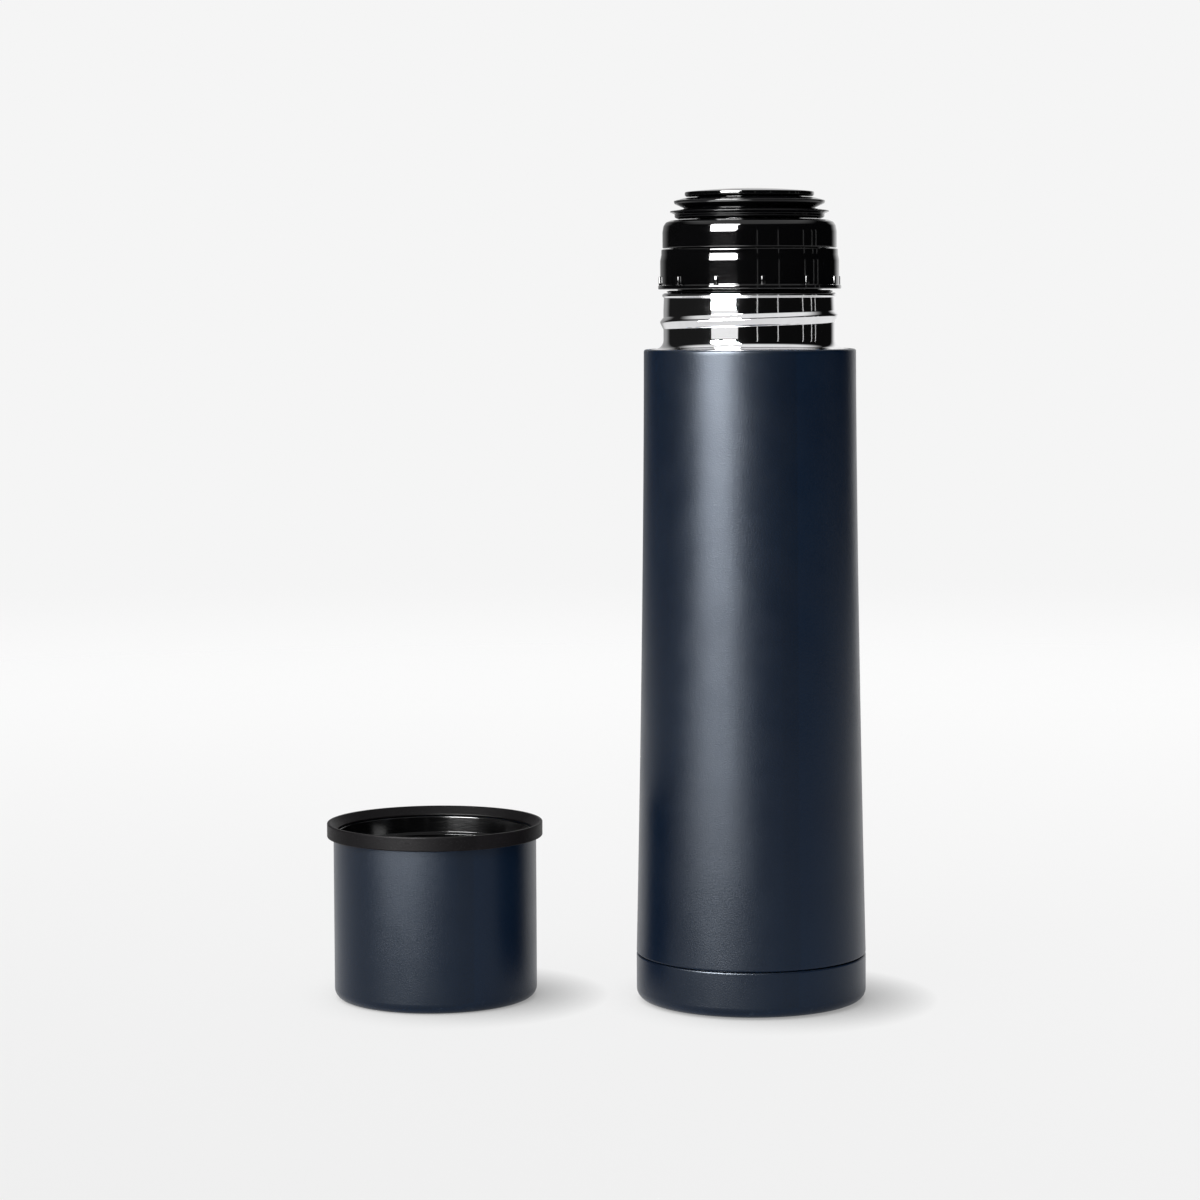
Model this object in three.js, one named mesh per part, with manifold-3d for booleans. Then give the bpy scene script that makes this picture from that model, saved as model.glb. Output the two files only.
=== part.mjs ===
import * as THREE from "three";
import { mergeVertices } from "three/addons/utils/BufferGeometryUtils.js";
import Module from "manifold-3d";

// A vacuum flask with a screw stopper, and its drinking cup standing beside it.
// Millimetres, +Z up. The origin is on the flask's axis, on the surface it stands on.
// Angles round the axis are counted from the front (-Y) towards +X.

const manifold = await Module();
manifold.setup();

// ---------- Driving dimensions ----------

const GAP = 0.3; // clearance between pieces that rest on or grip each other
const WALL = 0.6; // drawn steel sheet
const VACUUM_SPACE = 2.6; // between the outer shell and the inner bottle
const ROUND = 32; // facets round a visible piece
const ROUND_HIDDEN = 20; // facets round a piece inside

// Outer body
const BASE_R = 34.0;
const SHOULDER_R = 31.2;
const SEAM_Z = 14.0; // fine groove between the base cup and the shell
const SHOULDER_Z = 192.8; // top of the painted shell, where the cup's collar seats
const SHELL_EDGE_R = 1.0;
const BASE_CORNER_R = 3.0;
const FOOT_Z = 0.4; // the base cup hangs this far above the pad's face
const PAD_R = 26.0;
const PAD_H = 1.2;

// Polished neck
const NECK_R = 25.4;
const LIP_R = 25.7;
const LIP_Z = 209.2;
const SHOULDER_RING_R = 29.4;
const MOUTH_R = 23.8; // inside of the inner bottle's neck
const THROAT_R = 21.6; // below the seat of the stopper's gasket
const SEAT_Z = 197.0;
const THROAT_Z = 191.0; // bottom edge of the inner neck
const NECK_FILLET = 2.2; // from the shoulder ring up into the neck

// Inner bottle
const BOTTLE_SHOULDER_Z = 181.0;
const BOTTLE_RIM_Z = 38.0; // the wall and the dished bottom meet here
const BOTTLE_FLOOR_Z = 30.0;
const BOTTLE_CORNER_R = 6.0;

// In the vacuum space
const END_PLATE_Z = 20.0;
const END_PLATE_H = 6.0;
const END_PLATE_LIP_H = 2.2; // bent part of the plate's rim, and the rise of its dimple
const PUMP_HOLE_R = 1.2;
const DIMPLE = { top: 4.2, foot: 7.0 }; // radii
const BEAD = { r: 2.6, z: 20.9, tall: 1.0 };
const GETTER = { x: 12, r: 5.8, z: 26.6, tall: 3.0, wall: 0.5 };
const PELLET = { r: 4.9, z: 26.8, tall: 2.0, bevel: 0.3 };
const FOIL = { from: 40, to: 180, offset: 0.5, thick: 0.3 };
const ROUND_SMALL = 16; // facets round the bead, the clip and the pellet

// Screw threads: all are right-handed and have the same pitch. frontZ is the level of a crest at the
// front, from and to are angles, and rows are the levels of the points that carry the thread.
const PITCH = 4.3;
const THREAD_FADE = 50; // degrees over which a thread runs in and out
const OUTER_BEAD = {
  height: 0.95,
  halfWidth: 1.85,
  frontZ: 201.4,
  from: -150,
  to: 250,
  rows: levels(196.4, 206.4, 10),
};
const NECK_THREAD = {
  height: -1.1,
  halfWidth: 1.0,
  frontZ: 203.6,
  from: -200,
  to: 200,
  rows: levels(207.4, 199.6, 10),
};
const PLUG_THREAD = {
  height: 1.3,
  halfWidth: 1.0,
  frontZ: NECK_THREAD.frontZ - PITCH / 2,
  from: -200,
  to: 200,
  rows: levels(198.8, 205.3, 9),
};
const CUP_THREAD = {
  height: -1.2,
  halfWidth: 1.1,
  frontZ: 41.2,
  from: -150,
  to: 170,
  rows: levels(44.0, 37.4, 8),
};

// Stopper
const FLANGE_R = 26.9;
const FLANGE_Z = 210.3;
const FLANGE_H = 1.2;
const COLLAR_R = 26.3;
const COLLAR_SLOPE_Z = 218.3; // the grip band draws in above this level
const COLLAR_SLOPE = { tall: 2.2, in: 0.35 };
const PARTING_Z = 222.2; // line between the collar and the head
const HEAD_R = 25.6;
const HEAD_TOP_Z = 230.5;
const HEAD_CORNER_R = 2.2;
const STOPPER_WALL = 2.0;
const RIB_COUNT = 12;
const RIB = { tall: 2.7, wide: 1.2, proud: 0.6, firstAngle: 6 };
const PLUG_ROOT_R = 22.1;
const PLUG_STEM_R = 20.6; // passes the throat
const PLUG_CORE_R = 18.6; // bore that holds the insulation
const PLUG_NECK_R = 21.2; // inside the mouth gasket and the collar
const PLUG_BOTTOM_Z = 189.4;
const PLUG_ROOT_TOP_Z = 208.4;
const BOTTOM_CAP = { face: 1.5, spigot: 1.6 }; // thickness below and height inside the plug
const CORE_TOP_Z = 224.5; // top of the insulation
const SEAL_RING_R = 22.0;
const SEAL_TOP_Z = 237.0;
const FIN_LOW_R = 23.4;
const FIN_HIGH_R = 22.4;
const SEAL_CORE_R = 19.1; // between the fins
const TOP_STEM_R = 15.3;
const TOP_STEM_END_Z = 225.2;
const TOP_DISC_R = 19.0;
const TOP_FOOT_R = 17.7; // step under the disc
const TOP_Z = 239.9;
const DOME_H = 1.1;

// Cup
const CUP_AXIS = [-94, 6];
const CUP_R = 30.2;
const CUP_H = 52.4;
const CUP_COLLAR_R = 32.1;
const CUP_COLLAR_H = 4.2;
const CUP_MOUTH_R = 29.0;
const CUP_LEAD_IN = 2.2;
const CUP_FLOOR_Z = 3.0;
const CUP_LINER_WALL = 0.8;
const CUP_LEDGE_Z = 44.2; // step at the top of the cup's threaded band
const CUP_BAND_R = 27.2;
const CUP_BAND_END_Z = 37.4;
const CUP_SHELL_TOP = CUP_H - CUP_COLLAR_H + 1.3;

// ---------- Finishes ----------

const paint = () => new THREE.MeshStandardMaterial({ color: 0x2b3446, roughness: 0.45, metalness: 0.4 });
const steel = () => new THREE.MeshStandardMaterial({ color: 0xc9cacb, roughness: 0.18, metalness: 1 });
const dullSteel = () => new THREE.MeshStandardMaterial({ color: 0x9a9c9e, roughness: 0.4, metalness: 1 });
const copper = () => new THREE.MeshStandardMaterial({ color: 0xb07a52, roughness: 0.3, metalness: 1 });
const glossBlack = () => new THREE.MeshStandardMaterial({ color: 0x0b0b0c, roughness: 0.15, metalness: 0 });
const rubber = () => new THREE.MeshStandardMaterial({ color: 0x222325, roughness: 0.75, metalness: 0 });
const foam = () => new THREE.MeshStandardMaterial({ color: 0xd8d5c8, roughness: 0.9, metalness: 0 });
const ceramic = () => new THREE.MeshStandardMaterial({ color: 0x8d8b86, roughness: 0.7, metalness: 0 });

// ---------- Shape helpers ----------

const rad = THREE.MathUtils.degToRad;

// Points of an arc in the (radius, height) plane, from angle a to angle b in degrees.
function arc(r, z, radius, a, b, steps = 4) {
  return Array.from({ length: steps + 1 }, (_, i) => {
    const t = rad(a + ((b - a) * i) / steps);
    return [r + radius * Math.cos(t), z + radius * Math.sin(t)];
  });
}

// Heights from one level to another, both included.
function levels(from, to, steps) {
  return Array.from({ length: steps + 1 }, (_, i) => from + ((to - from) * i) / steps);
}

function signedArea(profile) {
  return profile.reduce((sum, [r, z], i) => {
    const [r2, z2] = profile[(i + 1) % profile.length];
    return sum + (r * z2 - r2 * z) / 2;
  }, 0);
}

// Turns an outline of [radius, height] pairs into a solid of revolution about Z.
// An outline that does not start and end on the axis is closed into a ring.
function turned(outline, segments = ROUND) {
  const points = signedArea(outline) < 0 ? [...outline].reverse() : [...outline];
  const onAxis = points[0][0] === 0 && points[points.length - 1][0] === 0;
  if (!onAxis) points.push(points[0]);
  const lathe = new THREE.LatheGeometry(
    points.map(([r, z]) => new THREE.Vector2(r, z)),
    segments,
  );
  return lathe.rotateX(Math.PI / 2);
}

// Height of a thread at an angle and level: that of the highest turn that passes there.
function threadHeight(thread, angle, z) {
  let best = 0;
  for (let turn = -2; turn <= 2; turn++) {
    const along = angle + 360 * turn;
    const offset = Math.abs(z - thread.frontZ - (PITCH * along) / 360) / thread.halfWidth;
    if (offset >= 1) continue;
    const runIn = THREE.MathUtils.smoothstep(along, thread.from, thread.from + THREAD_FADE);
    const runOut = 1 - THREE.MathUtils.smoothstep(along, thread.to - THREAD_FADE, thread.to);
    best = Math.max(best, runIn * runOut * Math.cos((offset * Math.PI) / 2) ** 2);
  }
  return best * thread.height;
}

// Rolls a thread into the points that lie on a cylinder of the given radius.
function rollThread(geometry, thread, radius) {
  const p = geometry.getAttribute("position");
  for (let i = 0; i < p.count; i++) {
    const [x, y, z] = [p.getX(i), p.getY(i), p.getZ(i)];
    const r = Math.hypot(x, y);
    if (Math.abs(r - radius) > 1e-3) continue;
    const angle = THREE.MathUtils.radToDeg(Math.atan2(x, -y));
    const scale = (r + threadHeight(thread, angle, z)) / r;
    p.setXYZ(i, x * scale, y * scale, z);
  }
  return geometry;
}

function toSolid(geometry) {
  const bare = new THREE.BufferGeometry();
  const flat = geometry.index ? geometry.toNonIndexed() : geometry;
  bare.setAttribute("position", flat.getAttribute("position").clone());
  const merged = mergeVertices(bare, 1e-4);
  const index = merged.index.array;
  const faces = [];
  for (let i = 0; i < index.length; i += 3) {
    const [a, b, c] = [index[i], index[i + 1], index[i + 2]];
    if (a !== b && b !== c && c !== a) faces.push(a, b, c);
  }
  return new manifold.Manifold(
    new manifold.Mesh({
      numProp: 3,
      vertProperties: merged.getAttribute("position").array,
      triVerts: new Uint32Array(faces),
    }),
  );
}

function fromSolid(solid) {
  const mesh = solid.getMesh();
  return new THREE.BufferGeometry()
    .setAttribute("position", new THREE.BufferAttribute(mesh.vertProperties, 3))
    .setIndex(new THREE.BufferAttribute(mesh.triVerts, 1));
}

function piece(name, geometry, material) {
  const mesh = new THREE.Mesh(geometry, material);
  mesh.name = name;
  return mesh;
}

// ---------- Flask body ----------

// The body widens from the shoulder to the base on a gentle curve.
function bodyRadius(z) {
  const down = THREE.MathUtils.clamp((SHOULDER_Z - z) / (SHOULDER_Z - SEAM_Z), 0, 1);
  return SHOULDER_R + (BASE_R - SHOULDER_R) * down ** 1.5;
}

const bottleRadius = (z) => bodyRadius(z) - WALL - VACUUM_SPACE;

function outerShell() {
  const bottom = SEAM_Z + GAP / 2;
  const top = SHOULDER_Z - SHELL_EDGE_R;
  const flangeR = SHOULDER_RING_R + GAP;
  return turned([
    [BASE_R - GAP, bottom],
    ...levels(bottom + GAP, top, 5).map((z) => [bodyRadius(z), z]),
    ...arc(SHOULDER_R - SHELL_EDGE_R, top, SHELL_EDGE_R, 30, 90, 2),
    [flangeR, SHOULDER_Z],
    [flangeR, SHOULDER_Z - WALL],
    [SHOULDER_R - SHELL_EDGE_R, SHOULDER_Z - WALL],
    ...levels(top, bottom, 3).map((z) => [bodyRadius(z) - WALL, z]),
  ]);
}

function baseCup() {
  const spigotR = BASE_R - WALL - 0.5;
  const rim = SEAM_Z - GAP / 2;
  const corner = BASE_R - BASE_CORNER_R;
  const recessR = PAD_R + GAP;
  const recessZ = PAD_H + GAP;
  return turned([
    [0, recessZ],
    [recessR, recessZ],
    [recessR + 0.4, FOOT_Z],
    ...arc(corner, FOOT_Z + BASE_CORNER_R, BASE_CORNER_R, -90, 0, 4),
    [BASE_R, rim - GAP],
    [BASE_R - GAP, rim],
    [spigotR, rim],
    [spigotR, rim + 3.5],
    [spigotR - WALL, rim + 3.5],
    [spigotR - WALL, rim - 1.2],
    [BASE_R - WALL, rim - 2],
    ...arc(corner, FOOT_Z + BASE_CORNER_R, BASE_CORNER_R - WALL, 0, -90, 3),
    [recessR + 1, FOOT_Z + WALL],
    [recessR, recessZ + WALL],
    [0, recessZ + WALL],
  ]);
}

function basePad() {
  return turned([
    [0, 0],
    [PAD_R - 0.4, 0],
    [PAD_R, 0.4],
    [PAD_R, PAD_H],
    [0, PAD_H],
  ]);
}

// Polished shoulder ring, neck tube with its rolled bead, and the lip round the mouth.
function neckShoulder() {
  const inside = NECK_R - WALL;
  const top = LIP_Z - 1.2;
  const filletR = NECK_R + NECK_FILLET;
  const filletZ = SHOULDER_Z + NECK_FILLET;
  const outline = [
    [SHOULDER_RING_R, SHOULDER_Z - WALL],
    [SHOULDER_RING_R, SHOULDER_Z - 0.2],
    ...arc(filletR, filletZ, NECK_FILLET, 270, 180, 3),
    ...OUTER_BEAD.rows.map((z) => [NECK_R, z]),
    [NECK_R, top],
    [LIP_R, LIP_Z - 0.7],
    [LIP_R - 0.2, LIP_Z - 0.2],
    [LIP_R - 0.6, LIP_Z],
    [LIP_R - 1.2, LIP_Z],
    [MOUTH_R, LIP_Z - 0.6],
    [MOUTH_R, LIP_Z - 1.0],
    [inside, LIP_Z - 1.2],
    ...arc(filletR, filletZ, NECK_FILLET + WALL, 180, 270, 3),
  ];
  return rollThread(turned(outline), OUTER_BEAD, NECK_R);
}

// Neck of the inner bottle: the stopper's thread, the seat of its gasket, and the throat.
function innerNeck() {
  const top = LIP_Z - 1.3;
  const throatTop = SEAT_Z - 2.4;
  const outline = [
    [THROAT_R + WALL, THROAT_Z],
    [THROAT_R + WALL, throatTop],
    [MOUTH_R + WALL, SEAT_Z],
    [MOUTH_R + WALL, top],
    [MOUTH_R, top],
    ...NECK_THREAD.rows.map((z) => [MOUTH_R, z]),
    [MOUTH_R, SEAT_Z],
    [THROAT_R, throatTop],
    [THROAT_R, THROAT_Z],
  ];
  return rollThread(turned(outline), NECK_THREAD, MOUTH_R);
}

function innerBottleWall() {
  const straight = levels(BOTTLE_RIM_Z, BOTTLE_SHOULDER_Z, 3);
  const top = THROAT_Z - GAP;
  return turned([
    ...straight.map((z) => [bottleRadius(z), z]),
    [THROAT_R + WALL, top],
    [THROAT_R, top],
    [THROAT_R, top - 0.2],
    ...straight.reverse().map((z) => [bottleRadius(z) - WALL, z]),
  ]);
}

function innerBottleBottom() {
  const rim = BOTTLE_RIM_Z - GAP;
  const r = bottleRadius(rim);
  const [bendR, bendZ] = [r - BOTTLE_CORNER_R, BOTTLE_FLOOR_Z + BOTTLE_CORNER_R];
  return turned(
    [
      [0, BOTTLE_FLOOR_Z],
      ...arc(bendR, bendZ, BOTTLE_CORNER_R, -90, 0, 4),
      [r, rim],
      [r - WALL, rim],
      ...arc(bendR, bendZ, BOTTLE_CORNER_R - WALL, 0, -90, 4),
      [0, BOTTLE_FLOOR_Z + WALL],
    ],
    ROUND_HIDDEN,
  );
}

// Plate that closes the vacuum space, with a dimple round the pumping hole.
function vacuumEndPlate() {
  const r = BASE_R - 2 * WALL;
  const z = END_PLATE_Z;
  const risen = z + END_PLATE_LIP_H;
  return turned(
    [
      [PUMP_HOLE_R, risen],
      [DIMPLE.top, risen],
      [DIMPLE.foot, z],
      [r - 2, z],
      [r, z + 2],
      [r, z + END_PLATE_H],
      [r - WALL, z + END_PLATE_H],
      [r - WALL, risen],
      [r - END_PLATE_LIP_H, z + WALL],
      [DIMPLE.foot + 0.3, z + WALL],
      [DIMPLE.top + 0.3, risen + WALL],
      [PUMP_HOLE_R, risen + WALL],
    ],
    ROUND_HIDDEN,
  );
}

function sealingBead() {
  const { r, z, tall } = BEAD;
  return turned(
    [
      [0, z],
      [r - 0.4, z],
      [r, z + tall / 2],
      [r - 0.6, z + tall],
      [0, z + tall],
    ],
    ROUND_SMALL,
  );
}

// Shallow steel cup under the inner bottle that holds the gas-absorbing pellet.
function getterClip() {
  const { x, r, z, tall, wall } = GETTER;
  const top = z + tall;
  return turned(
    [
      [r - wall, z],
      [r, z],
      [r, top],
      [0, top],
      [0, top - wall],
      [r - wall, top - wall],
    ],
    ROUND_SMALL,
  ).translate(x, 0, 0);
}

function getterPellet() {
  const { r, z, tall, bevel } = PELLET;
  return turned(
    [
      [0, z],
      [r - bevel, z],
      [r, z + bevel],
      [r, z + tall],
      [0, z + tall],
    ],
    ROUND_SMALL,
  ).translate(GETTER.x, 0, 0);
}

function foilWrap() {
  const inner = levels(FOIL.from, FOIL.to, 3);
  return turned(
    [
      ...inner.map((z) => [bottleRadius(z) + FOIL.offset + FOIL.thick, z]),
      ...inner.reverse().map((z) => [bottleRadius(z) + FOIL.offset, z]),
    ],
    ROUND_HIDDEN,
  );
}

// ---------- Stopper ----------

// Lower grip ring with its flange and small ribs.
function stopperCollar() {
  const top = PARTING_Z - GAP / 2;
  const bore = PLUG_NECK_R + 0.4;
  const shoulder = FLANGE_Z + FLANGE_H;
  const drawnIn = COLLAR_R - COLLAR_SLOPE.in;
  const ring = turned([
    [bore, FLANGE_Z],
    [FLANGE_R - 0.2, FLANGE_Z],
    [FLANGE_R, FLANGE_Z + 0.3],
    [FLANGE_R, shoulder - 0.2],
    [FLANGE_R - 0.2, shoulder],
    [COLLAR_R, shoulder],
    [COLLAR_R, COLLAR_SLOPE_Z],
    [drawnIn, COLLAR_SLOPE_Z + COLLAR_SLOPE.tall],
    [drawnIn, top - 0.3],
    [drawnIn - 0.3, top],
    [COLLAR_R - STOPPER_WALL, top],
    [COLLAR_R - STOPPER_WALL, FLANGE_Z + STOPPER_WALL],
    [bore, FLANGE_Z + STOPPER_WALL],
  ]);
  let solid = toSolid(ring);
  const sunk = 0.6; // how far a rib runs into the wall and the flange
  for (let i = 0; i < RIB_COUNT; i++) {
    const rib = new THREE.BoxGeometry(RIB.wide, RIB.proud + sunk, RIB.tall + sunk);
    rib.translate(0, (sunk - RIB.proud) / 2 - COLLAR_R, shoulder + (RIB.tall - sunk) / 2);
    rib.rotateZ(rad(RIB.firstAngle + (360 / RIB_COUNT) * i));
    solid = solid.add(toSolid(rib));
  }
  return fromSolid(solid);
}

function stopperHead() {
  const bottom = PARTING_Z + GAP / 2;
  const inside = HEAD_R - STOPPER_WALL;
  const ceiling = HEAD_TOP_Z - STOPPER_WALL;
  const bore = TOP_STEM_R + GAP;
  return turned([
    [inside, bottom],
    [HEAD_R - 0.4, bottom],
    [HEAD_R, bottom + 0.4],
    ...arc(HEAD_R - HEAD_CORNER_R, HEAD_TOP_Z - HEAD_CORNER_R, HEAD_CORNER_R, 0, 90, 5),
    [bore, HEAD_TOP_Z],
    [bore, ceiling],
    [inside - 0.5, ceiling],
    [inside, ceiling - 0.5],
  ]);
}

// Threaded plug: a tube that screws into the neck and carries the collar and the head.
function stopperPlug() {
  const top = HEAD_TOP_Z - STOPPER_WALL - GAP;
  const rootEnd = SEAT_Z + 1.3;
  const outline = [
    [PLUG_CORE_R, PLUG_BOTTOM_Z],
    [PLUG_STEM_R, PLUG_BOTTOM_Z],
    [PLUG_STEM_R, rootEnd],
    [PLUG_ROOT_R, rootEnd],
    ...PLUG_THREAD.rows.map((z) => [PLUG_ROOT_R, z]),
    [PLUG_ROOT_R, PLUG_ROOT_TOP_Z],
    [PLUG_NECK_R, PLUG_ROOT_TOP_Z],
    [PLUG_NECK_R, top],
    [PLUG_CORE_R, top],
  ];
  return rollThread(turned(outline), PLUG_THREAD, PLUG_ROOT_R);
}

function stopperBottomCap() {
  const face = PLUG_BOTTOM_Z - GAP;
  const spigotR = PLUG_CORE_R - GAP;
  return turned(
    [
      [0, face - BOTTOM_CAP.face],
      [PLUG_STEM_R - 0.8, face - BOTTOM_CAP.face],
      [PLUG_STEM_R, face - BOTTOM_CAP.face + 0.8],
      [PLUG_STEM_R, face],
      [spigotR, face],
      [spigotR, face + BOTTOM_CAP.spigot],
      [0, face + BOTTOM_CAP.spigot],
    ],
    ROUND_HIDDEN,
  );
}

function stopperInsulation() {
  const bottom = PLUG_BOTTOM_Z + BOTTOM_CAP.spigot + 0.2;
  return turned(
    [
      [0, bottom],
      [PLUG_CORE_R - 0.4, bottom],
      [PLUG_CORE_R - 0.4, CORE_TOP_Z],
      [0, CORE_TOP_Z],
    ],
    ROUND_HIDDEN,
  );
}

// Soft ring with two fins under the top disc: a thin one at its foot, and a wedge that droops above.
function lipSealRing() {
  const bottom = HEAD_TOP_Z + 0.35;
  const lowFin = bottom + 1.6;
  const highFin = bottom + 4.6;
  return turned([
    [TOP_STEM_R + GAP, bottom],
    [SEAL_RING_R - 1.1, bottom],
    [SEAL_RING_R, bottom + 0.6],
    [SEAL_RING_R, lowFin],
    [FIN_LOW_R, lowFin + 0.5],
    [FIN_LOW_R - 0.1, lowFin + 0.8],
    [SEAL_CORE_R + 0.6, lowFin + 1.4],
    [SEAL_CORE_R, lowFin + 2.0],
    [SEAL_CORE_R, highFin],
    [FIN_HIGH_R - 0.2, highFin],
    [FIN_HIGH_R, highFin + 0.4],
    [FIN_HIGH_R - 0.2, highFin + 0.8],
    [SEAL_CORE_R + 0.3, SEAL_TOP_Z],
    [TOP_STEM_R + GAP, SEAL_TOP_Z],
  ]);
}

// Domed top disc with the stem that holds the seal ring on the head.
function stopperTopCap() {
  const under = SEAL_TOP_Z + GAP;
  const rim = TOP_Z - DOME_H;
  const dome = [0.94, 0.72, 0.45].map((share) => [TOP_DISC_R * share, TOP_Z - DOME_H * share ** 2]);
  return turned([
    [0, TOP_STEM_END_Z],
    [TOP_STEM_R, TOP_STEM_END_Z],
    [TOP_STEM_R, under],
    [TOP_FOOT_R, under],
    [TOP_FOOT_R, under + 0.9],
    [TOP_DISC_R - 0.2, under + 0.9],
    [TOP_DISC_R, under + 1.1],
    [TOP_DISC_R, rim],
    ...dome,
    [0, TOP_Z],
  ]);
}

function mouthGasket() {
  return turned([
    [PLUG_NECK_R + 0.4, LIP_Z - 0.3],
    [MOUTH_R - 0.5, LIP_Z - 0.3],
    [24.5, LIP_Z + 0.35],
    [24.3, LIP_Z + 0.6],
    [23.6, FLANGE_Z - GAP],
    [PLUG_NECK_R + 0.4, FLANGE_Z - GAP],
  ]);
}

function plugGasket() {
  return turned(
    [
      [PLUG_STEM_R + 0.4, SEAT_Z - 1.2],
      [21.8, SEAT_Z - 1.2],
      [22.3, SEAT_Z - 0.7],
      [22.3, SEAT_Z + 0.9],
      [PLUG_STEM_R + 0.4, SEAT_Z + 0.9],
    ],
    ROUND,
  );
}

// ---------- Cup ----------

function cupShell() {
  const corner = CUP_R - BASE_CORNER_R;
  return turned([
    [0, 0],
    ...arc(corner, BASE_CORNER_R, BASE_CORNER_R, -90, 0, 4),
    [CUP_R, CUP_SHELL_TOP],
    [CUP_R - WALL, CUP_SHELL_TOP],
    [CUP_R - WALL, BASE_CORNER_R],
    ...arc(corner, BASE_CORNER_R, BASE_CORNER_R - WALL, -30, -90, 2),
    [0, WALL],
  ]);
}

// Moulded liner; the band below its step carries the thread for the flask's neck.
function cupLiner() {
  const r = CUP_R - WALL - GAP;
  const inside = r - CUP_LINER_WALL;
  const corner = r - BASE_CORNER_R;
  const floor = CUP_FLOOR_Z - 1;
  const bend = floor + BASE_CORNER_R;
  const outline = [
    [0, floor],
    ...arc(corner, bend, BASE_CORNER_R, -90, 0, 4),
    [r, CUP_SHELL_TOP],
    [inside, CUP_SHELL_TOP],
    [inside, CUP_LEDGE_Z + 1],
    [CUP_BAND_R + 0.2, CUP_LEDGE_Z],
    ...CUP_THREAD.rows.map((z) => [CUP_BAND_R, z]),
    [inside - 0.4, CUP_BAND_END_Z - 1],
    ...arc(corner, bend, BASE_CORNER_R - CUP_LINER_WALL - 0.4, 0, -60, 3),
    [corner, CUP_FLOOR_Z],
    [0, CUP_FLOOR_Z],
  ];
  return rollThread(turned(outline), CUP_THREAD, CUP_BAND_R);
}

// Rubber ring on the cup's rim, with a conical lead-in.
function cupCollar() {
  const bottom = CUP_H - CUP_COLLAR_H;
  const ledge = CUP_SHELL_TOP + GAP;
  const edge = 0.3;
  return turned([
    [CUP_R + GAP, bottom],
    [CUP_COLLAR_R - edge, bottom],
    [CUP_COLLAR_R, bottom + edge],
    [CUP_COLLAR_R, CUP_H - edge],
    [CUP_COLLAR_R - edge, CUP_H],
    [CUP_COLLAR_R - 1.0, CUP_H],
    [CUP_MOUTH_R, CUP_H - CUP_LEAD_IN],
    [CUP_MOUTH_R, ledge],
    [CUP_R + GAP, ledge],
  ]);
}

// ---------- Assembly ----------

const flask = new THREE.Group();
flask.add(
  piece("outer_shell", outerShell(), paint()),
  piece("base_cup", baseCup(), paint()),
  piece("base_pad", basePad(), rubber()),
  piece("neck_shoulder", neckShoulder(), steel()),
  piece("inner_neck", innerNeck(), dullSteel()),
  piece("inner_bottle_wall", innerBottleWall(), dullSteel()),
  piece("inner_bottle_bottom", innerBottleBottom(), dullSteel()),
  piece("vacuum_end_plate", vacuumEndPlate(), dullSteel()),
  piece("sealing_bead", sealingBead(), ceramic()),
  piece("getter_clip", getterClip(), dullSteel()),
  piece("getter_pellet", getterPellet(), ceramic()),
  piece("foil_wrap", foilWrap(), copper()),
);

const stopper = new THREE.Group();
stopper.add(
  piece("stopper_collar", stopperCollar(), glossBlack()),
  piece("stopper_head", stopperHead(), glossBlack()),
  piece("stopper_plug", stopperPlug(), glossBlack()),
  piece("stopper_bottom_cap", stopperBottomCap(), glossBlack()),
  piece("stopper_insulation", stopperInsulation(), foam()),
  piece("lip_seal_ring", lipSealRing(), rubber()),
  piece("stopper_top_cap", stopperTopCap(), glossBlack()),
  piece("mouth_gasket", mouthGasket(), rubber()),
  piece("plug_gasket", plugGasket(), rubber()),
);

const cup = new THREE.Group();
cup.position.set(CUP_AXIS[0], CUP_AXIS[1], 0);
cup.add(
  piece("cup_shell", cupShell(), paint()),
  piece("cup_liner", cupLiner(), glossBlack()),
  piece("cup_collar", cupCollar(), rubber()),
);

const vacuumFlask = new THREE.Group();
vacuumFlask.add(flask, stopper, cup);
export default vacuumFlask;
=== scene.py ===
import math

import bmesh
import bpy
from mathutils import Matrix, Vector


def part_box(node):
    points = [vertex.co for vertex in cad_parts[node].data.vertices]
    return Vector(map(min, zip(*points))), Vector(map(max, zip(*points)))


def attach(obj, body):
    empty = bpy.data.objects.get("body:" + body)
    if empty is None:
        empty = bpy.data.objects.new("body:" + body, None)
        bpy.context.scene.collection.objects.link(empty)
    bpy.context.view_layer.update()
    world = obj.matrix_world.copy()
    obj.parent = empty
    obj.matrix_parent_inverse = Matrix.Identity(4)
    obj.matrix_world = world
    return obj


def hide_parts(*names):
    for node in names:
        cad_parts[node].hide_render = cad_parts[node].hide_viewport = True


# A vacuum flask with its screw stopper in the neck, and the drinking cup beside it.
# Outlines are given in millimetres as (radius, height) and turned about a piece's own axis.
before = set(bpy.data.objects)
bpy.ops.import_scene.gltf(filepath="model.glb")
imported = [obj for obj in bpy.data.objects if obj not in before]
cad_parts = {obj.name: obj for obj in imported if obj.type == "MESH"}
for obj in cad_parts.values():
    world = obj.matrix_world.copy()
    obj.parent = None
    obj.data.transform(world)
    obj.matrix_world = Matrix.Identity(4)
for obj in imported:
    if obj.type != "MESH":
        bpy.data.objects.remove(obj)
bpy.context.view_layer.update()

MM = 0.001
STEPS_ROUND = 192  # facets round a turned piece
STEPS_HIDDEN = 96
STEPS_SMALL = 48
FILLET_STEPS = 6
SHARP = math.radians(38)
MERGE = 5e-7  # metres between points that are one point
ON_ROOT = 4e-6  # how near the root radius a point lies that a thread may move
HOLD = 0.12  # from the end of a straight stretch to the point that keeps its shading flat


# ---------- Sizes from the frame ----------

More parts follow.
